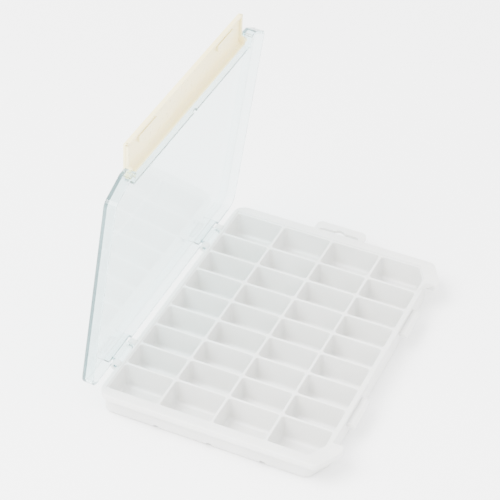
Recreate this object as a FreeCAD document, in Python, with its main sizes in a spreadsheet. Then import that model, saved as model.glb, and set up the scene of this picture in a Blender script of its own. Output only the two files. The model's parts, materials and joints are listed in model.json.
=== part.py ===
import FreeCAD
import Part
import Sketcher
import os
import re

# Compartment box with a hinged clear lid and a full-width latch bar.
#
# Frame: +Z up, origin at the middle of the cell block's length on the plane the tray rests on,
# -X towards the hinge, +X towards the latch, -Y to the front end and +Y to the hang tab.
# The lid and the latch bar are drawn as they lie when the box is shut, and their Placement then
# turns them about the two hinge lines to the open position in which the model rests.

DOC = FreeCAD.newDocument("CompartmentBox")

# Driving dimensions, millimetres and degrees.
SIZES = {
    # Tray shell
    "rim_height": 18.5,
    "floor_thick": 1.5,
    "wall_thick": 1.8,
    "latch_wall_thick": 2.7,
    "floor_round": 1.2,
    # Cells: columns lie along X, rows along Y, and the rows at both ends are longer
    "columns": 4,
    "rows": 9,
    "cell_width": 31.7,
    "cell_length": 18.6,
    "end_cell_length": 24.1,
    "web_thick": 1.6,
    "web_drop": 0.3,
    "cells_start": -69.1,
    # Slanted corners on the latch side, parallel on the tray, the collar and the lid
    "slant_run": 9.0,
    "slant_rise": 17.0,
    "slant_start": 57.5,
    # Collar round the rim
    "collar_depth": 4.0,
    "collar_plate": 1.6,
    "collar_reach": 5.3,
    "collar_side": 1.1,
    "collar_round": 0.7,
    "collar_slant_start": 63.5,
    "corner_round": 8.0,
    "corner_run": 9.0,
    "latch_edge": 72.5,
    "collar_nose": 80.2,
    "nose_round": 2.0,
    # Hang tab with its slot, under the collar at the back
    "tab_half_width": 17.0,
    "tab_thick": 2.0,
    "tab_reach": 19.1,
    "tab_round": 4.0,
    "slot_half_width": 13.5,
    "slot_start": 7.1,
    "slot_height": 5.6,
    "slot_round": 2.7,
    "slot_eye_radius": 3.7,
    "slot_eye_offset": 10.9,
    # Lugs on the latch wall
    "lug_middle": 45.0,
    "lug_length": 25.0,
    "lug_bottom": 11.8,
    "lug_thick": 2.4,
    "lug_reach": 5.0,
    "lug_nose": 1.0,
    "lug_slope": 1.8,
    # Hinge between tray and lid
    "hinge_x": -73.4,
    "hinge_z": 16.6,
    "hinge_middle": 63.5,
    "hinge_notch": 27.0,
    "knuckle_length": 16.0,
    "knuckle_radius": 2.0,
    "hinge_pin_radius": 1.3,
    "hinge_pin_length": 3.5,
    "hinge_bore_radius": 1.35,
    "ear_radius": 3.0,
    "ear_gap": 0.6,
    "ear_thick": 3.7,
    "lid_angle": 84.5,
    # Lid
    "lid_gap": 0.1,
    "lid_depth": 7.1,
    "lid_panel": 1.8,
    "lid_skirt": 1.8,
    "lid_inset": 0.2,
    "lid_notch_rise": 1.6,
    "recess_x": 65.4,
    "recess_half": 79.0,
    "lid_ear_thick": 2.2,
    # Latch bar and its pivot in the lid's ears
    "latch_x": 68.2,
    "latch_z": 22.9,
    "latch_half": 77.4,
    "latch_plate": 1.6,
    "latch_flush": 0.2,
    "latch_bottom": 4.8,
    "latch_top": 25.25,
    "latch_web": 1.5,
    "latch_web_start": 67.2,
    "latch_lip_start": 69.2,
    "latch_lip_depth": 1.5,
    "latch_cap": 1.6,
    "latch_cap_neck": 3.2,
    "latch_pin_radius": 1.5,
    "latch_pin_length": 3.6,
    "latch_bore_radius": 1.55,
    "latch_angle": 97.0,
    # Catch ribs on the latch bar
    "rib_middle": 52.5,
    "rib_length": 22.0,
    "rib_bottom": 7.5,
    "rib_height": 3.8,
    "rib_reach": 1.5,
}

SIDES = (("front", -1), ("back", 1))
FUNCTIONS = ("sqrt", "cos", "sin")


# ---- Spreadsheet and expressions ---------------------------------------------------------------

def make_sheet():
    sheet = DOC.addObject("Spreadsheet::Sheet", "Sizes")
    for row, (name, size) in enumerate(SIZES.items(), start=1):
        sheet.set(f"A{row}", name)
        sheet.set(f"B{row}", str(size))
        sheet.setAlias(f"B{row}", name)
    DOC.recompute()
    return sheet


def bind(text):
    """An expression in plain names, written for the spreadsheet."""
    def cell(match):
        word = match.group()
        return word if word in FUNCTIONS else f"Sizes.{word}"
    return re.sub(r"[a-z]\w*", cell, text)


SHEET = make_sheet()


def value(text):
    """The number an expression in plain names stands for."""
    return float(SHEET.evalExpression(bind(text)))


# Expressions that several pieces share.
PITCH = "(cell_length + web_thick)"
END_INSIDE = "((rows - 2) / 2 * cell_length + (rows - 1) / 2 * web_thick + end_cell_length)"
END_OUTSIDE = f"({END_INSIDE} + wall_thick)"
HINGE_WALL = "(cells_start - wall_thick)"
LATCH_INSIDE = "(cells_start + columns * cell_width + (columns - 1) * web_thick)"
LATCH_WALL = f"({LATCH_INSIDE} + latch_wall_thick)"
WEB_TOP = "(rim_height - web_drop)"
COLLAR_END = f"({END_OUTSIDE} + collar_reach)"
COLLAR_HINGE = f"({HINGE_WALL} - collar_side)"
COLLAR_BOTTOM = "(rim_height - collar_depth)"
SLANT_ACROSS = "sqrt(slant_run ^ 2 + slant_rise ^ 2) / slant_rise"
LID_END = f"({COLLAR_END} - lid_inset)"
LID_BOTTOM = "(rim_height + lid_gap)"
LID_TOP = "(rim_height + lid_gap + lid_depth)"
LID_CEILING = f"({LID_TOP} - lid_panel)"
NOTCH_TOP = f"({LID_BOTTOM} + lid_notch_rise)"
NOTCH_NEAR = "(hinge_middle - hinge_notch / 2)"
NOTCH_FAR = "(hinge_middle + hinge_notch / 2)"
LATCH_OUTSIDE = "(latch_edge - latch_flush)"
LATCH_INNER = f"({LATCH_OUTSIDE} - latch_plate)"


def slanted(start_x, start_y, at_x):
    """How far out a slanted corner that leaves the end at start_x has come back at at_x."""
    return f"({start_y} - ({at_x} - {start_x}) * slant_rise / slant_run)"


def signed(sign, text):
    return f"-({text})" if sign < 0 else text


def span(sign, near, far):
    """The lower and upper limit of a stretch from near to far on one side of the middle."""
    return (near, far) if sign > 0 else (signed(sign, far), signed(sign, near))


# ---- Poses of the three mouldings --------------------------------------------------------------

def turn_about(x, z, angle):
    """A turn that swings +X up towards +Z about a line along Y."""
    centre = FreeCAD.Vector(value(x), 0, value(z))
    return FreeCAD.Placement(FreeCAD.Vector(), FreeCAD.Rotation(FreeCAD.Vector(0, -1, 0), angle), centre)


TRAY = FreeCAD.Placement()
LID = turn_about("hinge_x", "hinge_z", value("lid_angle"))
LATCH = LID * turn_about("latch_x", "latch_z", value("latch_angle"))


# ---- Building blocks ---------------------------------------------------------------------------

nodes = []


def box(label, along_x, along_y, along_z):
    """A plain block of the tray between the given limits."""
    item = DOC.addObject("Part::Box", label)
    spans = (along_x, along_y, along_z)
    for side, axis, (low, high) in zip(("Length", "Width", "Height"), "xyz", spans):
        item.setExpression(side, bind(f"{high} - ({low})"))
        item.setExpression(f"Placement.Base.{axis}", bind(low))
    nodes.append(item)
    return item


def origin_plane(body, role):
    return next(plane for plane in body.Origin.OriginFeatures if plane.Role == role)


def new_sketch(body, role, offset):
    """A sketch on one of the body's own origin planes, moved along the plane's normal."""
    sketch = body.newObject("Sketcher::SketchObject", f"{body.Label}_sketch")
    sketch.AttachmentSupport = [(origin_plane(body, role), "")]
    sketch.MapMode = "FlatFace"
    sketch.setExpression("AttachmentOffset.Base.z", bind(offset))
    return sketch


def fix_point(sketch, curve, end, place):
    """Holds a point of the sketch at its two distances from the origin."""
    for kind, size in zip(("DistanceX", "DistanceY"), place):
        number = sketch.addConstraint(Sketcher.Constraint(kind, -1, 1, curve, end, value(size)))
        sketch.setExpression(f"Constraints[{number}]", bind(size))


def draw_polygon(sketch, corners):
    points = [FreeCAD.Vector(value(across), value(up), 0) for across, up in corners]
    count = len(points)
    first = sketch.GeometryCount
    for index in range(count):
        sketch.addGeometry(Part.LineSegment(points[index], points[(index + 1) % count]), False)
    for index in range(count):
        following = first + (index + 1) % count
        sketch.addConstraint(Sketcher.Constraint("Coincident", first + index, 2, following, 1))
    for index, corner in enumerate(corners):
        fix_point(sketch, first + index, 1, corner)


def draw_circle(sketch, middle, radius):
    centre = FreeCAD.Vector(value(middle[0]), value(middle[1]), 0)
    circle = sketch.addGeometry(Part.Circle(centre, FreeCAD.Vector(0, 0, 1), value(radius)), False)
    fix_point(sketch, circle, 3, middle)
    number = sketch.addConstraint(Sketcher.Constraint("Radius", circle, value(radius)))
    sketch.setExpression(f"Constraints[{number}]", bind(radius))


def new_body(label, pose):
    body = DOC.addObject("PartDesign::Body", label)
    body.Placement = pose
    nodes.append(body)
    return body


# The normal of the XZ plane points along -Y, so a stretch along Y starts at its far end there.
def stretch_offset(role, low, high):
    return signed(-1, high) if role == "XZ_Plane" else low


def pad(body, role, low, high, draw, *shape):
    """Adds the drawn outline between two distances along the plane's axis."""
    sketch = new_sketch(body, role, stretch_offset(role, low, high))
    draw(sketch, *shape)
    feature = body.newObject("PartDesign::Pad", f"{body.Label}_pad")
    feature.Profile = sketch
    feature.setExpression("Length", bind(f"{high} - ({low})"))
    DOC.recompute()
    return feature


def pocket(body, role, low, high, draw, *shape):
    """Cuts the drawn outline away between two distances and checks that it removed material."""
    before = body.Shape.Volume
    sketch = new_sketch(body, role, stretch_offset(role, low, high))
    draw(sketch, *shape)
    feature = body.newObject("PartDesign::Pocket", f"{body.Label}_pocket")
    feature.Profile = sketch
    feature.Reversed = True
    feature.setExpression("Length", bind(f"{high} - ({low})"))
    DOC.recompute()
    if body.Shape.Volume >= before:
        raise RuntimeError(f"{body.Label}: the pocket removed nothing")
    return feature


def prism(label, role, corners, low, high, pose=TRAY):
    body = new_body(label, pose)
    pad(body, role, low, high, draw_polygon, corners)
    return body


def rectangle(along_x, along_y):
    (west, east), (south, north) = along_x, along_y
    return [(west, south), (east, south), (east, north), (west, north)]


def round_edges(body, radius, wanted):
    """Fillets the edges whose middle point and direction the test accepts."""
    base = body.Tip
    names = []
    for number, edge in enumerate(base.Shape.Edges, start=1):
        middle = edge.valueAt((edge.FirstParameter + edge.LastParameter) / 2)
        ends = edge.Vertexes[-1].Point - edge.Vertexes[0].Point
        if wanted(middle, ends):
            names.append(f"Edge{number}")
    if not names:
        raise RuntimeError(f"{body.Label}: no edge to round")
    fillet = body.newObject("PartDesign::Fillet", f"{body.Label}_fillet")
    fillet.Base = (base, names)
    fillet.setExpression("Radius", bind(radius))
    DOC.recompute()


TOLERANCE = 0.01


def is_near(number, target):
    return abs(number - target) < TOLERANCE


def upright_at(*corners):
    """Picks the vertical edges that stand over the given corners."""
    spots = [(value(x), value(y)) for x, y in corners]

    def wanted(middle, ends):
        upright = abs(ends.z) > TOLERANCE and is_near(ends.x, 0) and is_near(ends.y, 0)
        return upright and any(is_near(middle.x, x) and is_near(middle.y, y) for x, y in spots)
    return wanted


def level_at(height):
    """Picks every edge that lies at one height."""
    level = value(height)

    def wanted(middle, ends):
        return is_near(middle.z, level) and is_near(ends.z, 0)
    return wanted


# ---- Tray --------------------------------------------------------------------------------------

def tray_floor():
    corner = slanted("slant_start", END_OUTSIDE, LATCH_WALL)
    outline = [
        (HINGE_WALL, signed(-1, END_OUTSIDE)),
        ("slant_start", signed(-1, END_OUTSIDE)),
        (LATCH_WALL, signed(-1, corner)),
        (LATCH_WALL, corner),
        ("slant_start", END_OUTSIDE),
        (HINGE_WALL, END_OUTSIDE),
    ]
    floor = prism("tray_floor", "XY_Plane", outline, "0", "floor_thick")
    round_edges(floor, "floor_round", level_at("0"))


def tray_walls():
    heights = ("floor_thick", "rim_height")
    corner = slanted("slant_start", END_OUTSIDE, LATCH_WALL)
    for side, sign in SIDES:
        box(f"{side}_wall", (HINGE_WALL, "slant_start"), span(sign, END_INSIDE, END_OUTSIDE), heights)
    box("hinge_wall", (HINGE_WALL, "cells_start"), span(1, signed(-1, END_INSIDE), END_INSIDE), heights)
    box("latch_wall", (LATCH_INSIDE, LATCH_WALL), span(1, signed(-1, corner), corner), heights)


def slanted_walls():
    """Walls across the two corners beside the latch."""
    across = f"(wall_thick * {SLANT_ACROSS})"
    corner = slanted("slant_start", END_OUTSIDE, LATCH_WALL)
    inner_latch = slanted("slant_start", END_OUTSIDE, f"({LATCH_INSIDE} + {across})")
    inner_end = f"(slant_start + wall_thick * slant_run / slant_rise - {across})"
    for side, sign in SIDES:
        corners = [
            ("slant_start", END_OUTSIDE),
            (LATCH_WALL, corner),
            (LATCH_INSIDE, corner),
            (LATCH_INSIDE, inner_latch),
            (inner_end, END_INSIDE),
            ("slant_start", END_INSIDE),
        ]
        mirrored = [(x, signed(sign, y)) for x, y in corners]
        prism(f"corner_wall_{side}", "XY_Plane", mirrored, "floor_thick", "rim_height")


def row_divider_middle(number):
    return f"(({number} - rows / 2) * {PITCH})"


def row_dividers():
    for number in range(1, int(value("rows"))):
        middle = row_divider_middle(number)
        along_y = (f"({middle} - web_thick / 2)", f"({middle} + web_thick / 2)")
        box(f"row_divider_{number}", ("cells_start", LATCH_INSIDE), along_y, ("floor_thick", WEB_TOP))


def column_dividers():
    """Long dividers, interrupted where the row dividers cross them."""
    for number in range(1, int(value("columns"))):
        start = f"(cells_start + {number} * cell_width + {number - 1} * web_thick)"
        strip = rectangle((start, f"({start} + web_thick)"), (signed(-1, END_INSIDE), END_INSIDE))
        divider = prism(f"column_divider_{number}", "XY_Plane", strip, "floor_thick", WEB_TOP)
        pocket(divider, "XY_Plane", "floor_thick", WEB_TOP, draw_row_slots, start)


def draw_row_slots(sketch, start):
    for number in range(1, int(value("rows"))):
        middle = row_divider_middle(number)
        along_y = (f"({middle} - web_thick / 2)", f"({middle} + web_thick / 2)")
        draw_polygon(sketch, rectangle((start, f"({start} + web_thick)"), along_y))


def collar_ends():
    """Collar along the front and the back: a plate with a lip that hangs from its outer edge."""
    lip = "(collar_plate)"
    for side, sign in SIDES:
        profile = [
            (END_OUTSIDE, "(rim_height - collar_plate)"),
            (END_OUTSIDE, "rim_height"),
            (COLLAR_END, "rim_height"),
            (COLLAR_END, COLLAR_BOTTOM),
            (f"({COLLAR_END} - {lip})", COLLAR_BOTTOM),
            (f"({COLLAR_END} - {lip})", "(rim_height - collar_plate)"),
        ]
        mirrored = [(signed(sign, y), z) for y, z in profile]
        start = f"({COLLAR_HINGE} + corner_run)"
        collar = prism(f"collar_{side}", "YZ_Plane", mirrored, start, "slant_start")
        edge = sign * value(COLLAR_END)
        round_edges(collar, "collar_round", lambda middle, ends: is_near(middle.y, edge) and ends.x != 0)


def collar_corners():
    """Rounded hinge-side corners and the wide slanted corners beside the latch."""
    for side, sign in SIDES:
        round_end = [
            (COLLAR_HINGE, f"({COLLAR_END} - corner_run)"),
            (HINGE_WALL, f"({COLLAR_END} - corner_run)"),
            (HINGE_WALL, END_OUTSIDE),
            (f"({COLLAR_HINGE} + corner_run)", END_OUTSIDE),
            (f"({COLLAR_HINGE} + corner_run)", COLLAR_END),
            (COLLAR_HINGE, COLLAR_END),
        ]
        mirrored = [(x, signed(sign, y)) for x, y in round_end]
        corner = prism(f"collar_corner_{side}", "XY_Plane", mirrored, COLLAR_BOTTOM, "rim_height")
        round_edges(corner, "corner_round", upright_at((COLLAR_HINGE, signed(sign, COLLAR_END))))
    for side, sign in SIDES:
        shoulder = slanted("collar_slant_start", COLLAR_END, "latch_edge")
        nose = [
            ("slant_start", COLLAR_END),
            ("collar_slant_start", COLLAR_END),
            ("latch_edge", shoulder),
            ("latch_edge", "collar_nose"),
            (LATCH_WALL, "collar_nose"),
            (LATCH_WALL, slanted("slant_start", END_OUTSIDE, LATCH_WALL)),
            ("slant_start", END_OUTSIDE),
        ]
        mirrored = [(x, signed(sign, y)) for x, y in nose]
        flange = prism(f"collar_nose_{side}", "XY_Plane", mirrored, COLLAR_BOTTOM, "rim_height")
        ends = (("latch_edge", signed(sign, "collar_nose")), ("latch_edge", signed(sign, shoulder)))
        round_edges(flange, "nose_round", upright_at(*ends))


def hinge_side_rim():
    """Narrow collar on the hinge side, left out where the two hinges are."""
    along_x = (COLLAR_HINGE, HINGE_WALL)
    heights = (COLLAR_BOTTOM, "rim_height")
    box("hinge_rim_middle", along_x, (signed(-1, NOTCH_NEAR), NOTCH_NEAR), heights)
    for side, sign in SIDES:
        along_y = span(sign, NOTCH_FAR, f"({COLLAR_END} - corner_run)")
        box(f"hinge_rim_{side}", along_x, along_y, heights)


def hang_tab():
    """Tab under the collar at the back, with a slot and an eye for a display peg."""
    middle = f"((cells_start + {LATCH_INSIDE}) / 2)"
    edges = (f"({middle} - tab_half_width)", f"({middle} + tab_half_width)")
    tip = f"({END_OUTSIDE} + tab_reach)"
    levels = (f"({COLLAR_BOTTOM} - tab_thick)", COLLAR_BOTTOM)
    tab = prism("hang_tab", "XY_Plane", rectangle(edges, (END_OUTSIDE, tip)), *levels)
    slot_x = (f"({middle} - slot_half_width)", f"({middle} + slot_half_width)")
    slot_y = (f"({END_OUTSIDE} + slot_start)", f"({END_OUTSIDE} + slot_start + slot_height)")
    slot = rectangle(slot_x, slot_y)
    pocket(tab, "XY_Plane", *levels, draw_polygon, slot)
    round_edges(tab, "slot_round", upright_at(*slot))
    eye = (middle, f"({END_OUTSIDE} + slot_eye_offset)")
    pocket(tab, "XY_Plane", *levels, draw_circle, eye, "slot_eye_radius")
    round_edges(tab, "tab_round", upright_at((edges[0], tip), (edges[1], tip)))


def catch_lugs():
    """Two lugs on the latch wall that the latch bar hooks under, sloped on top as a lead-in."""
    tip = f"({LATCH_WALL} + lug_reach)"
    top = "(lug_bottom + lug_thick)"
    profile = [
        (LATCH_WALL, "lug_bottom"),
        (tip, "lug_bottom"),
        (tip, "(lug_bottom + lug_nose)"),
        (f"({tip} - lug_slope)", top),
        (LATCH_WALL, top),
    ]
    for side, sign in SIDES:
        limits = span(sign, "(lug_middle - lug_length / 2)", "(lug_middle + lug_length / 2)")
        prism(f"catch_lug_{side}", "XZ_Plane", profile, *limits)


def hinge_ears():
    """Two ears at each hinge: a web out of the hinge wall with a round, bored end."""
    web = [
        ("hinge_x", "(hinge_z - ear_radius)"),
        (HINGE_WALL, "(hinge_z - ear_radius)"),
        (HINGE_WALL, "rim_height"),
        ("hinge_x", "rim_height"),
    ]
    behind_wall = rectangle(
        (HINGE_WALL, f"({HINGE_WALL} + ear_radius)"),
        ("(hinge_z - ear_radius)", "(hinge_z + ear_radius)"),
    )
    near = "(hinge_middle - knuckle_length / 2 - ear_gap)"
    far = "(hinge_middle + knuckle_length / 2 + ear_gap)"
    for side, sign in SIDES:
        places = (("inner", f"({near} - ear_thick)", near), ("outer", far, f"({far} + ear_thick)"))
        for name, start, end in places:
            limits = span(sign, start, end)
            ear = new_body(f"hinge_ear_{side}_{name}", TRAY)
            pad(ear, "XZ_Plane", *limits, draw_circle, ("hinge_x", "hinge_z"), "ear_radius")
            pad(ear, "XZ_Plane", *limits, draw_polygon, web)
            pocket(ear, "XZ_Plane", *limits, draw_polygon, behind_wall)
            pocket(ear, "XZ_Plane", *limits, draw_circle, ("hinge_x", "hinge_z"), "hinge_bore_radius")


# ---- Lid ---------------------------------------------------------------------------------------

def lid_panel():
    """Flat top of the lid, from the hinge edge to the recess for the latch bar."""
    edge = slanted("collar_slant_start", LID_END, "recess_x")
    outline = [
        (COLLAR_HINGE, signed(-1, LID_END)),
        ("collar_slant_start", signed(-1, LID_END)),
        ("recess_x", signed(-1, edge)),
        ("recess_x", edge),
        ("collar_slant_start", LID_END),
        (COLLAR_HINGE, LID_END),
    ]
    panel = prism("lid_panel", "XY_Plane", outline, LID_CEILING, LID_TOP, LID)
    corners = ((COLLAR_HINGE, signed(-1, LID_END)), (COLLAR_HINGE, LID_END))
    round_edges(panel, "corner_round", upright_at(*corners))


def lid_skirts():
    """Skirts along the front, the back, the recess and, between the hinges, the hinge edge."""
    start = f"({COLLAR_HINGE} + corner_run)"
    levels = (LID_BOTTOM, LID_CEILING)
    for side, sign in SIDES:
        along_y = span(sign, f"({LID_END} - lid_skirt)", LID_END)
        strip = rectangle((start, "collar_slant_start"), along_y)
        prism(f"lid_skirt_{side}", "XY_Plane", strip, *levels, LID)
    recess = rectangle(("(recess_x - lid_skirt)", "recess_x"), ("-recess_half", "recess_half"))
    prism("lid_skirt_latch", "XY_Plane", recess, *levels, LID)
    hinge_edge = (COLLAR_HINGE, f"({COLLAR_HINGE} + lid_skirt)")
    middle = rectangle(hinge_edge, (signed(-1, NOTCH_NEAR), NOTCH_NEAR))
    prism("lid_skirt_hinge", "XY_Plane", middle, *levels, LID)


def lid_hinge_corners():
    """Skirt from each hinge notch round the corner of the lid."""
    inner_x = f"({COLLAR_HINGE} + lid_skirt)"
    inner_y = f"({LID_END} - lid_skirt)"
    start = f"({COLLAR_HINGE} + corner_run)"
    for side, sign in SIDES:
        hook = [
            (COLLAR_HINGE, NOTCH_FAR),
            (inner_x, NOTCH_FAR),
            (inner_x, inner_y),
            (start, inner_y),
            (start, LID_END),
            (COLLAR_HINGE, LID_END),
        ]
        mirrored = [(x, signed(sign, y)) for x, y in hook]
        corner = prism(f"lid_corner_{side}", "XY_Plane", mirrored, LID_BOTTOM, LID_CEILING, LID)
        round_edges(corner, "corner_round", upright_at((COLLAR_HINGE, signed(sign, LID_END))))
        inner_spot = (inner_x, signed(sign, inner_y))
        round_edges(corner, "(corner_round - lid_skirt)", upright_at(inner_spot))


def lid_noses():
    """Hollow slanted corners of the lid beside the recess, each with the bore for a latch pin."""
    across = f"(lid_skirt * {SLANT_ACROSS})"
    edge = "(latch_edge - lid_skirt)"
    ear_end = "(recess_half + lid_ear_thick)"
    for side, sign in SIDES:
        outer = [
            ("recess_x", slanted("collar_slant_start", LID_END, "recess_x")),
            ("latch_edge", slanted("collar_slant_start", LID_END, "latch_edge")),
            ("latch_edge", "recess_half"),
            ("recess_x", "recess_half"),
        ]
        inner = [
            ("recess_x", slanted("collar_slant_start", LID_END, f"(recess_x + {across})")),
            (edge, slanted("collar_slant_start", LID_END, f"({edge} + {across})")),
            (edge, ear_end),
            ("recess_x", ear_end),
        ]
        outline = [(x, signed(sign, y)) for x, y in outer]
        hollow = [(x, signed(sign, y)) for x, y in inner]
        nose = prism(f"lid_nose_{side}", "XY_Plane", outline, LID_BOTTOM, LID_TOP, LID)
        pocket(nose, "XY_Plane", LID_BOTTOM, LID_CEILING, draw_polygon, hollow)
        limits = span(sign, "recess_half", ear_end)
        pocket(nose, "XZ_Plane", *limits, draw_circle, ("latch_x", "latch_z"), "latch_bore_radius")


# The heel's corner meets the hinge wall when the lid has turned past upright.
HEEL = ((0.0, 0.0), (0.0, -2.35), (-1.8, -2.3), (-2.0, 0.0))
# The tab that joins the knuckle to the skirt above the notch.
KNUCKLE_TAB = ((-1.7, 1.0), (1.4, 5.6), (2.2, 5.6), (2.2, 2.1), (2.0, 0.0))


def about_hinge(points):
    return [(f"(hinge_x + ({x}))", f"(hinge_z + ({z}))") for x, z in points]


def lid_knuckles():
    """Hinge knuckle between each pair of ears, with two stub pins and the heel that stops the lid."""
    axis = ("hinge_x", "hinge_z")
    near = "(hinge_middle - knuckle_length / 2)"
    far = "(hinge_middle + knuckle_length / 2)"
    for side, sign in SIDES:
        limits = span(sign, near, far)
        pins = span(sign, f"({near} - hinge_pin_length)", f"({far} + hinge_pin_length)")
        knuckle = new_body(f"hinge_knuckle_{side}", LID)
        pad(knuckle, "XZ_Plane", *limits, draw_circle, axis, "knuckle_radius")
        pad(knuckle, "XZ_Plane", *limits, draw_polygon, about_hinge(HEEL))
        pad(knuckle, "XZ_Plane", *limits, draw_polygon, about_hinge(KNUCKLE_TAB))
        pad(knuckle, "XZ_Plane", *pins, draw_circle, axis, "hinge_pin_radius")
        strip = rectangle((COLLAR_HINGE, f"({COLLAR_HINGE} + lid_skirt)"), (NOTCH_NEAR, NOTCH_FAR))
        mirrored = [(x, signed(sign, y)) for x, y in strip]
        pad(knuckle, "XY_Plane", NOTCH_TOP, LID_CEILING, draw_polygon, mirrored)


# ---- Latch bar ---------------------------------------------------------------------------------

def latch_bar():
    """Front plate, top web and bottom lip of the bar, and the ribs that hook under the lugs."""
    length = ("-latch_half", "latch_half")
    plate = rectangle((LATCH_INNER, LATCH_OUTSIDE), length)
    prism("latch_plate", "XY_Plane", plate, "latch_bottom", "latch_top", LATCH)
    between_caps = ("-(latch_half - latch_cap)", "(latch_half - latch_cap)")
    web = rectangle(("latch_web_start", LATCH_INNER), between_caps)
    prism("latch_web", "XY_Plane", web, "(latch_top - latch_web)", "latch_top", LATCH)
    lip = rectangle(("latch_lip_start", LATCH_INNER), between_caps)
    prism("latch_lip", "XY_Plane", lip, "latch_bottom", "(latch_bottom + latch_lip_depth)", LATCH)
    for side, sign in SIDES:
        along_y = span(sign, "(rib_middle - rib_length / 2)", "(rib_middle + rib_length / 2)")
        rib = rectangle((f"({LATCH_INNER} - rib_reach)", LATCH_INNER), along_y)
        prism(f"catch_rib_{side}", "XY_Plane", rib, "rib_bottom", "(rib_bottom + rib_height)", LATCH)


def latch_caps():
    """End caps of the bar, each with the pin that turns in the lid's ear."""
    neck = "(latch_top - latch_web - latch_cap_neck)"
    profile = [
        ("latch_lip_start", "latch_bottom"),
        (LATCH_INNER, "latch_bottom"),
        (LATCH_INNER, "latch_top"),
        ("latch_web_start", "latch_top"),
        ("latch_web_start", neck),
        ("latch_lip_start", f"({neck} - latch_lip_depth)"),
    ]
    for side, sign in SIDES:
        cap = new_body(f"latch_cap_{side}", LATCH)
        limits = span(sign, "(latch_half - latch_cap)", "latch_half")
        pad(cap, "XZ_Plane", *limits, draw_polygon, profile)
        pin = span(sign, "(latch_half - latch_cap)", "(latch_half + latch_pin_length)")
        pad(cap, "XZ_Plane", *pin, draw_circle, ("latch_x", "latch_z"), "latch_pin_radius")


# ---- Assembly, checks and export ---------------------------------------------------------------

def build():
    tray_floor()
    tray_walls()
    slanted_walls()
    row_dividers()
    column_dividers()
    collar_ends()
    collar_corners()
    hinge_side_rim()
    hang_tab()
    catch_lugs()
    hinge_ears()
    lid_panel()
    lid_skirts()
    lid_hinge_corners()
    lid_noses()
    lid_knuckles()
    latch_bar()
    latch_caps()


def check():
    DOC.recompute()
    for item in DOC.Objects:
        if "Invalid" in item.State or "Error" in item.State:
            raise RuntimeError(f"{item.Label} failed: {item.State}")
    for node in nodes:
        if node.Shape.isNull() or not node.Shape.isValid():
            raise RuntimeError(f"{node.Label} has no valid shape")


def export():
    os.makedirs("parts", exist_ok=True)
    for node in nodes:
        node.Shape.exportStep(os.path.join("parts", f"{node.Label}.step"))


build()
check()
export()
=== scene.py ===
import json
import math

import bmesh
import bpy
from mathutils import Matrix, Vector


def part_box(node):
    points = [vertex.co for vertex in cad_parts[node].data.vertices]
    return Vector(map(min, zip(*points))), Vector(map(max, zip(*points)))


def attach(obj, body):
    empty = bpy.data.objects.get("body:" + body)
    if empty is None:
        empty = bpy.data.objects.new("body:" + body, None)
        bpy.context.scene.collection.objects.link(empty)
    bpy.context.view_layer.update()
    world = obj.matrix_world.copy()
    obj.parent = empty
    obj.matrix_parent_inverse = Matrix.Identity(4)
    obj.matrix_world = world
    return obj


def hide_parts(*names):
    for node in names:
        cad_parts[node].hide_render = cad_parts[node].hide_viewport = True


# Compartment box: a translucent tray of 36 cups, a clear lid and an ivory latch bar.
# All sizes are in metres, in the frame of the CAD model.

MM = 0.001
# Small rounding of the mouldings' edges.
EDGE = 0.25 * MM
# The half of an outline with y > 0 starts and ends this far from the middle plane.
MIDDLE = 0.01 * MM

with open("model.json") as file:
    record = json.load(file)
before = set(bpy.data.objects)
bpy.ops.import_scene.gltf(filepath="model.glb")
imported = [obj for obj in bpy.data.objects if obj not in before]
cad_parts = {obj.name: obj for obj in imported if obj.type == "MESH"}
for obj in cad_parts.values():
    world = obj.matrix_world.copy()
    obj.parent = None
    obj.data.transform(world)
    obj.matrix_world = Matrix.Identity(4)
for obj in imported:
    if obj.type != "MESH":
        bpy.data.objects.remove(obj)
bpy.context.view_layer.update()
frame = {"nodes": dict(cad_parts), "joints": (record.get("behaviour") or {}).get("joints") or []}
scene = bpy.context.scene


# ---- Sizes taken from the frame ----------------------------------------------------------------

def turn(point, angle):
    """A turn that swings +X up towards +Z about a line along Y."""
    place = Matrix.Translation(point)
    return place @ Matrix.Rotation(math.radians(angle), 4, (0, -1, 0)) @ place.inverted()


joints = {joint["name"]: joint for joint in frame["joints"]}
LATCH_PIVOT = Vector(joints["latch_hinge"]["pos_m"])
LID_POSE = turn(Vector(joints["lid_hinge"]["pos_m"]), -joints["lid_hinge"]["range_deg"][0])
LATCH_POSE = turn(LATCH_PIVOT, -joints["latch_hinge"]["range_deg"][0]) @ LID_POSE


def shut_box(node, pose):
    """The limits of a CAD node as it lies when the box is shut."""
    back = pose.inverted()
    spots = [back @ vertex.co for vertex in frame["nodes"][node].data.vertices]
    low = Vector([min(spot[axis] for spot in spots) for axis in range(3)])
    high = Vector([max(spot[axis] for spot in spots) for axis in range(3)])
    return low, high


# How much lower than in the CAD the dividers' tops are shown.
DIVIDER_DROP = 0.5 * MM
# How much further to the latch side the collar's slanted edge starts than the body's.
SLANT_SHIFT = 6.0 * MM
NOTCH_HEIGHT = 1.6 * MM

floor_low, floor_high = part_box("tray_floor")
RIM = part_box("front_wall")[1].z
FLOOR = floor_high.z
WEB_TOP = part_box("row_divider_1")[1].z - DIVIDER_DROP
SLANT_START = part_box("back_wall")[1].x
BODY_HINGE, BODY_LATCH = floor_low.x, floor_high.x
BODY_END = floor_high.y
LATCH_WALL_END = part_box("latch_wall")[1].y
CELLS_HINGE, CELLS_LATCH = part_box("hinge_wall")[1].x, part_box("latch_wall")[0].x
CELLS_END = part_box("back_wall")[0].y

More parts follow.
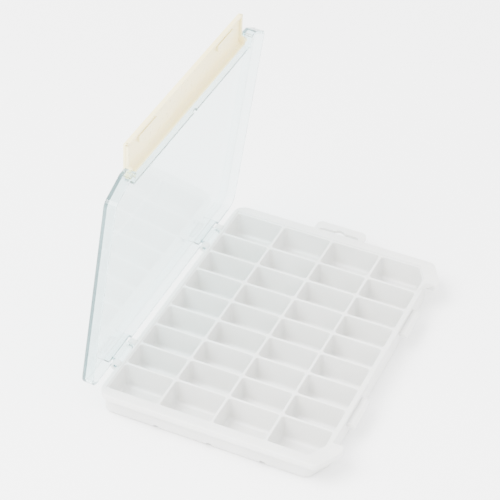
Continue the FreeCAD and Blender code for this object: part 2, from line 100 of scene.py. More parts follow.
COLLAR_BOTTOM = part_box("collar_back")[0].z
COLLAR_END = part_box("collar_back")[1].y
COLLAR_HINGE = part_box("collar_corner_back")[0].x
NOSE_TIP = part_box("collar_nose_back")[1].x
NOSE_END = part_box("collar_nose_back")[0].y
HINGE_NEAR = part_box("hinge_rim_middle")[1].y
HINGE_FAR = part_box("hinge_rim_back")[0].y

SLANT_SLOPE = (BODY_END - LATCH_WALL_END) / (BODY_LATCH - SLANT_START)
COLLAR_SLANT = SLANT_START + SLANT_SHIFT
NOSE_SHOULDER = COLLAR_END - (NOSE_TIP - COLLAR_SLANT) * SLANT_SLOPE

panel_high = shut_box("lid_panel", LID_POSE)[1]
LID_TOP = panel_high.z
LID_END = panel_high.y
LID_RECESS = panel_high.x
LID_BOTTOM = shut_box("lid_skirt_back", LID_POSE)[0].z
NOTCH_TOP = LID_BOTTOM + NOTCH_HEIGHT
RECESS_HALF = shut_box("lid_nose_back", LID_POSE)[0].y


# ---- Outlines and meshes -----------------------------------------------------------------------

# The cosine of half the turn at an outline's sharpest corner; a sharper one moves no further.
SHARPEST_CORNER = 0.35
# Vertices closer than this are made one, and edges sharper than this are shaded as sharp.
MERGE = 1e-6
SHARP_DEGREES = 32
BORE_SIDES = 40


def arc(corner, before, after, radius, steps):
    """Points of a rounded corner of an outline, from the side of before to the side of after."""
    corner, before, after = Vector(corner), Vector(before), Vector(after)
    inwards = (before - corner).normalized()
    onwards = (after - corner).normalized()
    half = inwards.angle(onwards) / 2
    middle = corner + (inwards + onwards).normalized() * radius / math.sin(half)
    reach = radius / math.tan(half)
    first, last = corner + inwards * reach - middle, corner + onwards * reach - middle
    total = first.angle(last)
    points = []
    for step in range(steps + 1):
        share = step / steps
        weights = math.sin((1 - share) * total), math.sin(share * total)
        points.append(middle + (first * weights[0] + last * weights[1]) / math.sin(total))
    return points


def inset(outline, distance):
    """The outline moved inwards; it runs anticlockwise."""
    moved = []
    count = len(outline)
    for index, point in enumerate(outline):
        before, after = outline[index - 1], outline[(index + 1) % count]
        first = (point - before).normalized()
        second = (after - point).normalized()
        normal = Vector((-first.y - second.y, first.x + second.x)).normalized()
        stretch = max(normal.dot(Vector((-first.y, first.x))), SHARPEST_CORNER)
        moved.append(point + normal * distance / stretch)
    return moved


def mirrored(half):
    """A closed anticlockwise outline from its half with y > 0, which runs from latch to hinge."""
    return half + [Vector((point.x, -point.y)) for point in reversed(half)]


class Mesh:
    """Collects rings of vertices and the faces between them, then makes an object."""

    def __init__(self):
        self.bm = bmesh.new()

    def ring(self, outline, heights):
        if not isinstance(heights, (list, tuple)):
            heights = [heights] * len(outline)
        return [self.bm.verts.new((p.x, p.y, z)) for p, z in zip(outline, heights)]

    def face(self, corners):
        corners = list(dict.fromkeys(corners))
        if len(corners) > 2:
            self.bm.faces.new(corners)

    def join(self, upper, lower):
        """Faces between two rings with as many points."""
        count = len(upper)
        for index in range(count):
            following = (index + 1) % count
            self.face([upper[index], lower[index], lower[following], upper[following]])

    def fill(self, ring, hinge_side, latch_side=0, nose_ends=None):
        """Fills a ring that mirrored() made with strips along Y.

        The two counts say how many of the half's points lie on the straight side at that end; an
        end strip takes one point more, so that it has some width. A nose, which lies between two
        of the half's points, gets a face of its own.
        """
        last = len(ring) - 1
        start, end = latch_side, last // 2 - hinge_side
        side = ring[:start + 1]
        back = ring[last - start:]
        if nose_ends:
            first, start = nose_ends
            side = ring[:first + 1] + [ring[start]]
            back = [ring[last - start]] + ring[last - first:]
            self.face(ring[first:start + 1])
            self.face(ring[last - start:last - first + 1])
        self.face(back + side)
        for index in range(start, end):
            opposite = last - index
            self.face([ring[index], ring[index + 1], ring[opposite - 1], ring[opposite]])
        self.face(ring[end:last - end + 1])

    def make(self, name, pose=Matrix.Identity(4), bores=()):
        """Makes the object. Its rounded edges shade smoothly and its flat faces stay flat."""
        bm = self.bm
        bmesh.ops.remove_doubles(bm, verts=bm.verts, dist=MERGE)
        bmesh.ops.dissolve_degenerate(bm, edges=bm.edges, dist=MERGE)
        bmesh.ops.recalc_face_normals(bm, faces=bm.faces)
        for face in bm.faces:
            face.smooth = True
        for edge in bm.edges:
            if edge.calc_face_angle(0.0) > math.radians(SHARP_DEGREES):
                edge.smooth = False
        data = bpy.data.meshes.new(name)
        bm.to_mesh(data)
        bm.free()
        data.transform(pose)
        piece = bpy.data.objects.new(name, data)
        scene.collection.objects.link(piece)
        for bore in bores:
            drill(piece, *bore)
        flat_faces = piece.modifiers.new("flat_faces", "WEIGHTED_NORMAL")
        flat_faces.weight = 100
        flat_faces.keep_sharp = True
        return piece


def drill(piece, place, radius, length):
    """Cuts a bore along Y into a piece."""
    bpy.ops.mesh.primitive_cylinder_add(
        vertices=BORE_SIDES,
        radius=radius,
        depth=length,
        location=place,
        rotation=(math.radians(90), 0, 0),
    )
    cutter = bpy.context.object
    cut = piece.modifiers.new("bore", "BOOLEAN")
    cut.object = cutter
    cut.solver = "EXACT"
    solid = piece.data
    drilled = piece.evaluated_get(bpy.context.evaluated_depsgraph_get())
    piece.data = bpy.data.meshes.new_from_object(drilled)
    piece.modifiers.remove(cut)
    bpy.data.meshes.remove(solid)
    bpy.data.meshes.remove(cutter.data)


def quarter(radius, steps):
    """How far in and how far down a rounded edge is, from the flat top to the side."""
    for step in range(steps + 1):
        angle = math.pi / 2 * step / steps
        yield radius * (1 - math.sin(angle)), radius * (1 - math.cos(angle))


# ---- Materials ---------------------------------------------------------------------------------

# The darkest and the lightest tone of each plastic that isn't clear.
MILKY = (0.79, 0.79, 0.765), (0.85, 0.85, 0.83)
IVORY = (0.85, 0.73, 0.37), (0.89, 0.79, 0.46)
CLEAR = (0.92, 0.965, 0.97, 1)
SHADOW_TINT = (0.90, 0.945, 0.95, 1)
DEPTH_TINT = (0.5, 0.82, 0.84, 1)
# The share of every ray that crosses the lid unbent, so that its edges don't turn black.
STRAIGHT_SHARE = 0.08
# Noise lies mostly between these.
NOISE_LOW, NOISE_HIGH = 0.3, 0.7


class Nodes:
    """A short way to build a material's node tree round one Principled shader."""

    def __init__(self, name):
        self.material = bpy.data.materials.new(name)
        self.material.use_nodes = True
        self.tree = self.material.node_tree
        self.shader = self.tree.nodes["Principled BSDF"]
        self.output = self.tree.nodes["Material Output"]

    def add(self, kind, **values):
        node = self.tree.nodes.new(kind)
        for key, value in values.items():
            if key in node.inputs:
                node.inputs[key].default_value = value
            else:
                setattr(node, key, value)
        return node

    def link(self, source, target):
        self.tree.links.new(source, target)

    def feed(self, socket, source):
        """Links a source to one of the shader's sockets."""
        self.link(source, self.shader.inputs[socket])

    def noise(self, scale, detail=3.0, stretch=(1, 1, 1)):
        """Noise in the object's own metres."""
        place = self.add("ShaderNodeTexCoord")
        mapping = self.add("ShaderNodeMapping")
        mapping.inputs["Scale"].default_value = stretch
        noise = self.add("ShaderNodeTexNoise", Scale=scale, Detail=detail)
        self.link(place.outputs["Object"], mapping.inputs["Vector"])
        self.link(mapping.outputs["Vector"], noise.inputs["Vector"])
        return noise.outputs["Fac"]

    def spread(self, factor, low, high):
        """Maps noise onto a range of numbers."""
        node = self.add("ShaderNodeMapRange")
        node.inputs["From Min"].default_value = NOISE_LOW
        node.inputs["From Max"].default_value = NOISE_HIGH
        node.inputs["To Min"].default_value = low
        node.inputs["To Max"].default_value = high
        self.link(factor, node.inputs["Value"])
        return node.outputs["Result"]

    def tones(self, factor, dark, light):
        """Maps noise onto a range of colours."""
        node = self.add("ShaderNodeValToRGB")
        node.color_ramp.elements[0].position = NOISE_LOW
        node.color_ramp.elements[0].color = (*dark, 1)
        node.color_ramp.elements[1].position = NOISE_HIGH
        node.color_ramp.elements[1].color = (*light, 1)
        self.link(factor, node.inputs["Fac"])
        return node.outputs["Color"]

    def bump(self, height, depth):
        node = self.add("ShaderNodeBump", Strength=0.5, Distance=depth)
        self.link(height, node.inputs["Height"])
        self.feed("Normal", node.outputs["Normal"])

    def pass_light(self):
        """Lets soft light through instead of a hard dark shadow."""
        path = self.add("ShaderNodeLightPath")
        either = self.add("ShaderNodeMath", operation="MAXIMUM")
        self.link(path.outputs["Is Shadow Ray"], either.inputs[0])
        self.link(path.outputs["Is Diffuse Ray"], either.inputs[1])
        least = self.add("ShaderNodeMath", operation="MAXIMUM")
        least.inputs[1].default_value = STRAIGHT_SHARE
        self.link(either.outputs["Value"], least.inputs[0])
        through = self.add("ShaderNodeBsdfTransparent", Color=SHADOW_TINT)
        mix = self.add("ShaderNodeMixShader")
        self.link(least.outputs["Value"], mix.inputs["Fac"])
        self.link(self.shader.outputs["BSDF"], mix.inputs[1])
        self.link(through.outputs["BSDF"], mix.inputs[2])
        self.link(mix.outputs["Shader"], self.output.inputs["Surface"])

    def set(self, **values):
        for key, value in values.items():
            self.shader.inputs[key.replace("_", " ")].default_value = value


def natural_polypropylene():
    """Milky tray plastic with a satin skin and the slow shade changes of a thin moulding."""
    nodes = Nodes("natural_polypropylene")
    clouds = nodes.noise(38.0)
    grain = nodes.noise(2600.0, detail=4.0)
    nodes.feed("Base Color", nodes.tones(clouds, *MILKY))
    nodes.feed("Roughness", nodes.spread(nodes.noise(160.0), 0.28, 0.42))
    nodes.bump(grain, 0.00004)
    nodes.set(IOR=1.49, Transmission_Weight=0.2, Subsurface_Weight=0.3, Subsurface_Scale=0.0015)
    nodes.set(Subsurface_Radius=(1.0, 0.95, 0.85))
    return nodes.material


def clear_polystyrene():
    """Glossy clear lid plastic, faintly green where light travels along it, with fine scuffs."""
    nodes = Nodes("clear_polystyrene")
    scuffs = nodes.noise(90.0, stretch=(1, 3, 1))
    nodes.feed("Roughness", nodes.spread(scuffs, 0.01, 0.06))
    nodes.set(Base_Color=CLEAR, IOR=1.45, Transmission_Weight=1.0)
    absorb = nodes.add("ShaderNodeVolumeAbsorption", Color=DEPTH_TINT, Density=60.0)
    nodes.link(absorb.outputs["Volume"], nodes.output.inputs["Volume"])
    nodes.pass_light()
    return nodes.material


def ivory_plastic():
    """Semi-gloss ivory of the latch bar, with faint flow marks along its length."""
    nodes = Nodes("ivory_plastic")
    flow = nodes.noise(60.0, stretch=(1, 0.2, 1))
    nodes.feed("Base Color", nodes.tones(flow, *IVORY))
    nodes.feed("Roughness", nodes.spread(nodes.noise(220.0), 0.25, 0.38))
    nodes.bump(nodes.noise(3200.0, detail=4.0), 0.00003)
    nodes.set(IOR=1.5, Subsurface_Weight=0.25, Subsurface_Scale=0.003)
    nodes.set(Subsurface_Radius=(1.0, 0.8, 0.45))
    return nodes.material


TRAY_PLASTIC = natural_polypropylene()
LID_PLASTIC = clear_polystyrene()
LATCH_PLASTIC = ivory_plastic()


def dress(piece, material):
    piece.data.materials.clear()
    piece.data.materials.append(material)
    return piece


# ---- Tray --------------------------------------------------------------------------------------

CUP_CORNER = 2.4 * MM
CUP_CORNER_LEAST = 0.5 * MM
CUP_COVE = 2.6 * MM
CUP_LIP = 0.5 * MM
CUP_DRAFT = 0.35 * MM
CUP_MARGIN = 0.3 * MM
SLANT_MARGIN = 1.2 * CUP_MARGIN
# The share of a lip's rounding that lies outside the cup's mouth.
LIP_OUTSIDE = 0.45
LIP_STEPS = 3
COVE_STEPS = 6
CORNER_STEPS = 6
# How far above the CAD floor the cups' floors are shown, and how much each divider is thinned.
FLOOR_LIFT = 0.05 * MM
DIVIDER_THINNING = 0.25 * MM

FOOT_ROUND = 3.0 * MM
FOOT_DRAFT = 0.3 * MM
FOOT_STEPS = 5
GROOVE_HALF = 5.0 * MM
GROOVE_ROOF = 1.0 * MM
GROOVE_ROUND = 4.3 * MM
GROOVE_STEPS = (-1.0, -0.8, -0.6, -0.4, -0.2, 0.0, 0.2, 0.4, 0.6, 0.8, 1.0)

RIM_ROUND = 0.7 * MM
BASIN_DRAFT = 0.25 * MM
COLLAR_EDGE_HEIGHT = 0.3 * MM
# From the collar's lower edge to the body: the share of that way, and the height.
COLLAR_UNDERSIDE = (
    (0.28, COLLAR_BOTTOM),
    (0.32, RIM - 1.8 * MM),
    (0.9, RIM - 2.0 * MM),
    (1.0, RIM - 3.0 * MM),
)

# Where the collar is missing, its outline is this far outside the body.
FLUSH = 0.05 * MM
HINGE_STEP = 0.2 * MM
NOSE_FILLET = 0.6 * MM
NOSE_TIP_ROUND = 1.8 * MM
NOSE_SHOULDER_ROUND = 3.0 * MM
SLANT_ROUND = 5.0 * MM
OUTER_CORNER_ROUND = 8.0 * MM
LATCH_WALL_ROUND = 4.0 * MM
BODY_SLANT_ROUND = 7.0 * MM
BODY_CORNER_ROUND = 5.0 * MM
# The spacing of the body's points beside a nose, and how many spacings each is from its end.
BESIDE_NOSE = 0.1 * MM
BESIDE_NOSE_STEPS = (-10, -6, -4, -3, -2, -1, 0, 1)

# How many points of a half lie on its straight side at the latch and at the hinge.
TRAY_LATCH_POINTS = 10
HINGE_POINTS = 6

column_middles = []
row_middles = []
for name in frame["nodes"]:
    if name.startswith("column_divider"):
        column_middles.append(sum(corner.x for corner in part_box(name)) / 2)
    if name.startswith("row_divider"):
        row_middles.append(sum(corner.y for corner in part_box(name)) / 2)
column_middles.sort()
row_middles.sort()
divider_low, divider_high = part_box("row_divider_1")
web_half = (divider_high.y - divider_low.y) / 2 - DIVIDER_THINNING


def basin_corner():
    """Where the inside of a slanted corner leaves the end wall and meets the latch wall."""
    wall = CELLS_HINGE - BODY_HINGE
    across = wall * math.sqrt(1 + SLANT_SLOPE ** -2)
    start = SLANT_START + wall / SLANT_SLOPE - across
    fall = BODY_END - (CELLS_LATCH + across - SLANT_START) * SLANT_SLOPE
    return Vector((start, CELLS_END)), Vector((CELLS_LATCH, fall))


BASIN_START, BASIN_FALL = basin_corner()


def cup_edges(column, row):
    """The corners of the web round one cup and those of its mouth, both anticlockwise."""
    across = [CELLS_HINGE] + column_middles + [CELLS_LATCH]
    along = [-CELLS_END] + row_middles + [CELLS_END]
    last_column, last_row = len(across) - 2, len(along) - 2
    west, east = across[column], across[column + 1]
    south, north = along[row], along[row + 1]
    in_west = west + (CUP_MARGIN if column == 0 else web_half)
    in_east = east - (CUP_MARGIN if column == last_column else web_half)
    in_south = south + (CUP_MARGIN if row == 0 else web_half)
    in_north = north - (CUP_MARGIN if row == last_row else web_half)
    web = [(west, south), (east, south), (east, north), (west, north)]
    mouth = [(in_west, in_south), (in_east, in_south), (in_east, in_north), (in_west, in_north)]
    if column == last_column and row in (0, last_row):
        sign = -1 if row == 0 else 1
        place = 1 if row == 0 else 2
        cut = [(BASIN_START.x, sign * BASIN_START.y), (BASIN_FALL.x, sign * BASIN_FALL.y)]
        inner = [
            (BASIN_START.x - SLANT_MARGIN / 2, sign * (CELLS_END - CUP_MARGIN)),
            (in_east, sign * (BASIN_FALL.y - SLANT_MARGIN)),
        ]
        if row != 0:
            cut.reverse()
            inner.reverse()
        web[place:place + 1] = cut
        mouth[place:place + 1] = inner
    return [Vector(point) for point in web], [Vector(point) for point in mouth]


def rounded(corners, radius, distance=0.0):
    """Each corner's arc of a convex outline that is moved inwards."""
    moved = inset(corners, distance)
    count = len(moved)
    size = max(radius - distance, CUP_CORNER_LEAST)
    arcs = []
    for index in range(count):
        following = moved[(index + 1) % count]
        arcs.append(arc(moved[index], moved[index - 1], following, size, CORNER_STEPS))
    return arcs


def flat(arcs):
    return [point for stretch in arcs for point in stretch]


def add_cup(mesh, column, row):
    """One cup: web, rounded lip, walls with a little draft, cove and floor."""
    web, mouth = cup_edges(column, row)
    outer = mesh.ring(web, WEB_TOP)
    rings = []
    for step in range(LIP_STEPS + 1):
        angle = math.pi / 2 * step / LIP_STEPS
        distance = CUP_LIP * (math.sin(angle) - LIP_OUTSIDE)
        drop = CUP_LIP * (1 - math.cos(angle))
        rings.append((distance, WEB_TOP - drop))
    bottom = FLOOR + FLOOR_LIFT
    start = CUP_LIP * (1 - LIP_OUTSIDE) + CUP_DRAFT
    for step in range(COVE_STEPS + 1):
        angle = math.pi / 2 * step / COVE_STEPS
        distance = start + CUP_COVE * (1 - math.cos(angle))
        rings.append((distance, bottom + CUP_COVE * (1 - math.sin(angle))))
    loops = [mesh.ring(flat(rounded(mouth, CUP_CORNER, d)), z) for d, z in rings]
    top = loops[0]
    span = CORNER_STEPS + 1
    for index in range(len(web)):
        first = index * span
        for step in range(CORNER_STEPS):
            mesh.face([outer[index], top[first + step + 1], top[first + step]])
        following = (index + 1) % len(web)
        mesh.face([outer[index], outer[following], top[following * span], top[first + CORNER_STEPS]])
    for upper, lower in zip(loops, loops[1:]):
        mesh.join(upper, lower)
    mesh.face(loops[-1])


def tray_halves():
    """The collar's and the body's outlines for y > 0, point for point, from latch to hinge."""
    collar, body = [], []

    def pair(outside, inside):
        collar.append(Vector(outside))
        body.append(Vector(inside))

    def corner(outside, inside, steps):
        for out, within in zip(arc(*outside, steps), arc(*inside, steps)):
            pair(out, within)

    latch = BODY_LATCH + FLUSH
    pair((latch, MIDDLE), (BODY_LATCH, MIDDLE))
    tip, shoulder = (NOSE_TIP, NOSE_END), (NOSE_TIP, NOSE_SHOULDER)
    nose = [(latch, NOSE_END - NOSE_FILLET), (latch + NOSE_FILLET, NOSE_END)]
    nose += arc(tip, (latch, NOSE_END), shoulder, NOSE_TIP_ROUND, 5)
    for point, step in zip(nose, BESIDE_NOSE_STEPS):
        pair(point, (BODY_LATCH, NOSE_END + step * BESIDE_NOSE))
    start, low_start = (COLLAR_SLANT, COLLAR_END), (SLANT_START, BODY_END)
    low_corner = (BODY_LATCH, LATCH_WALL_END)
    outer_turn = (shoulder, tip, start, NOSE_SHOULDER_ROUND)
    inner_turn = (low_corner, (BODY_LATCH, 0), low_start, LATCH_WALL_ROUND)
    corner(outer_turn, inner_turn, 5)
    outer_turn = (start, shoulder, (0, COLLAR_END), SLANT_ROUND)
    inner_turn = (low_start, low_corner, (0, BODY_END), BODY_SLANT_ROUND)
    corner(outer_turn, inner_turn, 5)
    samples = [middle + step * GROOVE_HALF for middle in column_middles for step in GROOVE_STEPS]
    for x in sorted(samples, reverse=True):
        pair((x, COLLAR_END), (x, BODY_END))
    outer_turn = ((COLLAR_HINGE, COLLAR_END), (0, COLLAR_END), (COLLAR_HINGE, 0), OUTER_CORNER_ROUND)
    inner_turn = ((BODY_HINGE, BODY_END), (0, BODY_END), (BODY_HINGE, 0), BODY_CORNER_ROUND)
    corner(outer_turn, inner_turn, 8)
    hinge = BODY_HINGE - FLUSH
    pair((COLLAR_HINGE, HINGE_FAR), (BODY_HINGE, HINGE_FAR))
    pair((hinge, HINGE_FAR - HINGE_STEP), (BODY_HINGE, HINGE_FAR - HINGE_STEP))
    pair((hinge, HINGE_NEAR + HINGE_STEP), (BODY_HINGE, HINGE_NEAR + HINGE_STEP))
    pair((COLLAR_HINGE, HINGE_NEAR), (BODY_HINGE, HINGE_NEAR))
    pair((COLLAR_HINGE, MIDDLE), (BODY_HINGE, MIDDLE))
    return collar, body


def groove(x):
    """Height of the notch under a column divider, between the rounded feet of two cup columns."""
    away = max(min(abs(x - middle) for middle in column_middles) - GROOVE_ROOF, 0.0)
    foot = GROOVE_HALF - GROOVE_ROOF
    if away >= foot:
        return 0.0
    return GROOVE_ROUND - math.sqrt(GROOVE_ROUND ** 2 - (foot - away) ** 2)


def add_basin_step(mesh, collar_top, body):
    """Joins the web's outline to the raised rim and the rim to the collar."""
    across = [CELLS_HINGE] + column_middles
    half = [Vector((CELLS_LATCH, y)) for y in row_middles if y > 0]
    half += [BASIN_FALL.copy(), BASIN_START.copy()]
    half += [Vector((x, CELLS_END)) for x in reversed(across)]
    half += [Vector((CELLS_HINGE, y)) for y in reversed(row_middles) if y > 0]
    basin = mirrored(half)
    lower = mesh.ring(basin, WEB_TOP)
    upper = mesh.ring(inset(basin, -BASIN_DRAFT), RIM)
    mesh.join(upper, lower)
    bridge(mesh, collar_top, shares(body), upper, shares(basin))


def shares(outline):
    """How far round each point of an anticlockwise outline lies, from 0 at +X to 1."""
    angles = [math.atan2(point.y / BODY_END, point.x / BODY_LATCH) for point in outline]
    return [angle % math.tau / math.tau for angle in angles]


def bridge(mesh, outer, outer_shares, inner, inner_shares):
    """Fills the flat strip between two closed loops that both run anticlockwise from +X."""
    outer_shares = outer_shares + [1 + outer_shares[0]]
    inner_shares = inner_shares + [1 + inner_shares[0]]
    i = j = 0
    while i < len(outer) or j < len(inner):
        a, b = outer[i % len(outer)], inner[j % len(inner)]
        if j >= len(inner) or (i < len(outer) and outer_shares[i + 1] <= inner_shares[j + 1]):
            mesh.face([a, outer[(i + 1) % len(outer)], b])
            i += 1
        else:
            mesh.face([a, inner[(j + 1) % len(inner)], b])
            j += 1


def tray_shell():
    """The whole tray moulding apart from its ears, lugs and tab."""
    mesh = Mesh()
    for column in range(len(column_middles) + 1):
        for row in range(len(row_middles) + 1):
            add_cup(mesh, column, row)
    half_collar, half_body = tray_halves()
    collar, body = mirrored(half_collar), mirrored(half_body)
    rings = []
    for inwards, down in quarter(RIM_ROUND, 3):
        rings.append(mesh.ring(inset(collar, inwards), RIM - down))
    add_basin_step(mesh, rings[0], body)
    rings.append(mesh.ring(collar, COLLAR_BOTTOM + COLLAR_EDGE_HEIGHT))
    lower_edge = inset(collar, EDGE)
    rings.append(mesh.ring(lower_edge, COLLAR_BOTTOM))
    for share, height in COLLAR_UNDERSIDE:
        line = [outside.lerp(inside, share) for outside, inside in zip(lower_edge, body)]
        rings.append(mesh.ring(line, height))
    rises = [groove(point.x) if abs(point.y) > LATCH_WALL_END else 0.0 for point in body]
    for step in range(FOOT_STEPS + 1):
        angle = math.pi / 2 * step / FOOT_STEPS
        line = inset(body, FOOT_DRAFT + FOOT_ROUND * (1 - math.cos(angle)))
        level = FOOT_ROUND * (1 - math.sin(angle))
        rings.append(mesh.ring(line, [max(level, rise) for rise in rises]))
    for upper, lower in zip(rings, rings[1:]):
        mesh.join(upper, lower)
    mesh.fill(rings[-1], HINGE_POINTS, latch_side=TRAY_LATCH_POINTS)
    return mesh.make("tray_shell")


TRAY_STOOD_FOR = ["tray_floor", "front_wall", "back_wall", "hinge_wall", "latch_wall"]
TRAY_STOOD_FOR += ["corner_wall_front", "corner_wall_back", "hinge_rim_middle"]
for side in ("front", "back"):
    TRAY_STOOD_FOR += [f"collar_{side}", f"collar_corner_{side}"]
    TRAY_STOOD_FOR += [f"collar_nose_{side}", f"hinge_rim_{side}"]
DIVIDERS = ("row_divider", "column_divider")
TRAY_STOOD_FOR += [name for name in frame["nodes"] if name.startswith(DIVIDERS)]


# ---- Lid ---------------------------------------------------------------------------------------

SKIRT = 1.8 * MM
PIN_BORE = 1.55 * MM
BORE_LENGTH = SKIRT + 1.0 * MM
LID_ROUND = 0.7 * MM
# The rounding inside the lid: how far from the skirt, and how far below the ceiling.
CEILING_EDGE = ((0.05 * MM, 0.5 * MM), (0.2 * MM, 0.15 * MM), (0.55 * MM, 0.0))
THUMB_NOTCH_HALF = 2.0 * MM
THUMB_NOTCH_HEIGHT = 1.2 * MM
NOTCH_STEP = 0.1 * MM
RECESS_FILLET = 0.5 * MM
LID_NOSE_ROUND = 0.8 * MM
LID_SHOULDER_ROUND = 2.5 * MM
# The places in lid_half's list of the nose's first and last point.
NOSE_POINTS = (3, 14)


def lid_half():
    """The lid's outline for y > 0 from the recess to the hinge, and its lower edge's heights."""
    points, levels = [], []

    def add(stretch, level=LID_BOTTOM):
        for point in stretch:
            points.append(Vector(point))
            levels.append(level)

    tip, start = (NOSE_TIP, RECESS_HALF), (COLLAR_SLANT, LID_END)
    shoulder = (NOSE_TIP, LID_END - (NOSE_TIP - COLLAR_SLANT) * SLANT_SLOPE)
    thumb_notch = [(LID_RECESS, MIDDLE), (LID_RECESS, THUMB_NOTCH_HALF)]
    add(thumb_notch, LID_BOTTOM + THUMB_NOTCH_HEIGHT)
    add([(LID_RECESS, THUMB_NOTCH_HALF + NOTCH_STEP), (LID_RECESS, RECESS_HALF - RECESS_FILLET)])
    add([(LID_RECESS + RECESS_FILLET, RECESS_HALF)])
    add(arc(tip, (LID_RECESS, RECESS_HALF), shoulder, LID_NOSE_ROUND, 3))
    add(arc(shoulder, tip, start, LID_SHOULDER_ROUND, 4))
    add([(LID_RECESS, LID_END - (LID_RECESS - COLLAR_SLANT) * SLANT_SLOPE)])
    add(arc(start, shoulder, (0, LID_END), SLANT_ROUND, 5))
    add(arc((COLLAR_HINGE, LID_END), (0, LID_END), (COLLAR_HINGE, 0), OUTER_CORNER_ROUND, 10))
    add([(COLLAR_HINGE, HINGE_FAR)])
    hinge_notch = [(COLLAR_HINGE, HINGE_FAR - NOTCH_STEP), (COLLAR_HINGE, HINGE_NEAR + NOTCH_STEP)]
    add(hinge_notch, NOTCH_TOP)
    add([(COLLAR_HINGE, HINGE_NEAR), (COLLAR_HINGE, MIDDLE)])
    return points, levels


def lid_shell():
    """The lid's panel, skirts and noses, with the bores for the latch bar's pins."""
    mesh = Mesh()
    half, levels = lid_half()
    outline = mirrored(half)
    feet = levels + levels[::-1]
    rings = []
    for inwards, down in quarter(LID_ROUND, 4):
        rings.append(mesh.ring(inset(outline, inwards), LID_TOP - down))
    mesh.fill(rings[0], HINGE_POINTS, nose_ends=NOSE_POINTS)
    for inwards, rise in ((0.0, EDGE), (EDGE, 0.0), (SKIRT - EDGE, 0.0), (SKIRT, EDGE)):
        rings.append(mesh.ring(inset(outline, inwards), [foot + rise for foot in feet]))
    ceiling = LID_TOP - SKIRT
    for inwards, down in CEILING_EDGE:
        rings.append(mesh.ring(inset(outline, SKIRT + inwards), ceiling - down))
    for upper, lower in zip(rings, rings[1:]):
        mesh.join(upper, lower)
    mesh.fill(rings[-1], HINGE_POINTS, nose_ends=NOSE_POINTS)
    bores = []
    for y in (-RECESS_HALF - SKIRT / 2, RECESS_HALF + SKIRT / 2):
        bores.append(((LATCH_PIVOT.x, y, LATCH_PIVOT.z), PIN_BORE, BORE_LENGTH))
    return mesh.make("lid_shell", LID_POSE, bores)


LID_STOOD_FOR = ["lid_panel", "lid_skirt_front", "lid_skirt_back", "lid_skirt_latch", "lid_skirt_hinge"]
LID_STOOD_FOR += ["lid_corner_front", "lid_corner_back", "lid_nose_front", "lid_nose_back"]


# ---- Latch bar ---------------------------------------------------------------------------------

def latch_shell():
    """One hooked section along Y: front plate, top web and bottom lip, with rounded corners."""
    plate_low, plate_high = shut_box("latch_plate", LATCH_POSE)
    web_low = shut_box("latch_web", LATCH_POSE)[0]
    lip_low, lip_high = shut_box("latch_lip", LATCH_POSE)
    outer, inner = plate_high.x, plate_low.x
    # Each corner of the section, with its rounding in millimetres.
    section = [
        ((outer, plate_low.z), 0.7),
        ((outer, plate_high.z), 0.7),
        ((web_low.x, plate_high.z), 0.3),
        ((web_low.x, web_low.z), 0.3),
        ((inner, web_low.z), 1.8),
        ((inner, lip_high.z), 0.4),
        ((lip_low.x, lip_high.z), 0.3),
        ((lip_low.x, plate_low.z), 0.3),
    ]
    spots = [Vector(spot) for spot, _ in section]
    outline = []
    for index, (spot, radius) in enumerate(section):
        following = spots[(index + 1) % len(spots)]
        outline += arc(spot, spots[index - 1], following, radius * MM, 3)
    end = plate_high.y
    mesh = Mesh()
    rings = []
    for y, inwards in ((-end, EDGE), (-end + EDGE, 0.0), (end - EDGE, 0.0), (end, EDGE)):
        line = inset(outline, inwards)
        rings.append([mesh.bm.verts.new((p.x, y, p.y)) for p in line])
    for first, second in zip(rings, rings[1:]):
        mesh.join(first, second)
    mesh.face(rings[0])
    mesh.face(rings[-1])
    return mesh.make("latch_shell", LATCH_POSE)


# ---- Assembly ----------------------------------------------------------------------------------

def soften(node):
    """Rounds a CAD node's edges a little where it stays shown."""
    bevel = frame["nodes"][node].modifiers.new("soft_edges", "BEVEL")
    bevel.width = EDGE
    bevel.segments = 2
    bevel.limit_method = "ANGLE"
    bevel.angle_limit = math.radians(40)


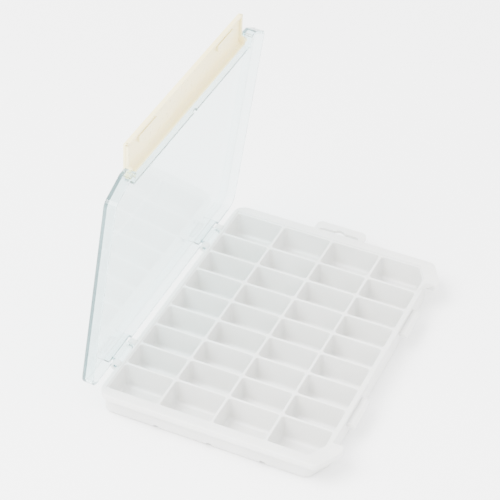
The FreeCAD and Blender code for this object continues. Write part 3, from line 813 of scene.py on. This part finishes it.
def build():
    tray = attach(dress(tray_shell(), TRAY_PLASTIC), "tray")
    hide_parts(*TRAY_STOOD_FOR)
    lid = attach(dress(lid_shell(), LID_PLASTIC), "lid")
    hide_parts(*LID_STOOD_FOR)
    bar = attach(dress(latch_shell(), LATCH_PLASTIC), "latch_bar")
    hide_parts("latch_plate", "latch_web", "latch_lip")
    for name, node in frame["nodes"].items():
        if node.hide_render:
            continue
        if name.startswith("hinge_knuckle"):
            dress(node, LID_PLASTIC)
        elif name.startswith(("latch_cap", "catch_rib")):
            dress(node, LATCH_PLASTIC)
        else:
            dress(node, TRAY_PLASTIC)
        soften(name)


build()


# ---- Stage, light and camera -------------------------------------------------------------------

def pale_floor():
    bpy.ops.mesh.primitive_plane_add(size=6.0, location=(0, 0, 0))
    plane = bpy.context.object
    plane.name = "floor"
    nodes = Nodes("pale_floor")
    nodes.set(Base_Color=(0.97, 0.97, 0.97, 1), Roughness=0.9)
    dress(plane, nodes.material)


def soft_light(name, place, target, size, power):
    data = bpy.data.lights.new(name, "AREA")
    data.shape = "SQUARE"
    data.size = size
    data.energy = power
    lamp = bpy.data.objects.new(name, data)
    lamp.location = place
    lamp.rotation_euler = (Vector(target) - Vector(place)).to_track_quat("-Z", "Y").to_euler()
    scene.collection.objects.link(lamp)


def studio():
    world = bpy.data.worlds.new("studio")
    world.use_nodes = True
    background = world.node_tree.nodes["Background"]
    background.inputs["Color"].default_value = (1.0, 1.0, 1.0, 1)
    background.inputs["Strength"].default_value = 3.7
    scene.world = world
    soft_light("key", place=(-0.7, -0.9, 1.5), target=(0, 0, 0), size=1.2, power=110)
    soft_light("fill", place=(1.1, -0.3, 1.0), target=(0, 0, 0.03), size=1.0, power=14)


def camera():
    """A long lens that looks down at the front, from a little to the right, slightly rolled."""
    azimuth, elevation, roll = 20.55, 37.46, 4.2
    place = Matrix.Translation((0.28911, -0.83308, 0.75023))
    data = bpy.data.cameras.new("camera")
    data.sensor_width = 36.0
    data.lens = 136.8
    data.clip_end = 20.0
    eye = bpy.data.objects.new("camera", data)
    spin = Matrix.Rotation(math.radians(azimuth), 4, "Z")
    tilt = Matrix.Rotation(math.radians(90 - elevation), 4, "X")
    lean = Matrix.Rotation(math.radians(roll), 4, "Z")
    eye.matrix_world = place @ spin @ tilt @ lean
    scene.collection.objects.link(eye)
    scene.camera = eye


pale_floor()
studio()
camera()
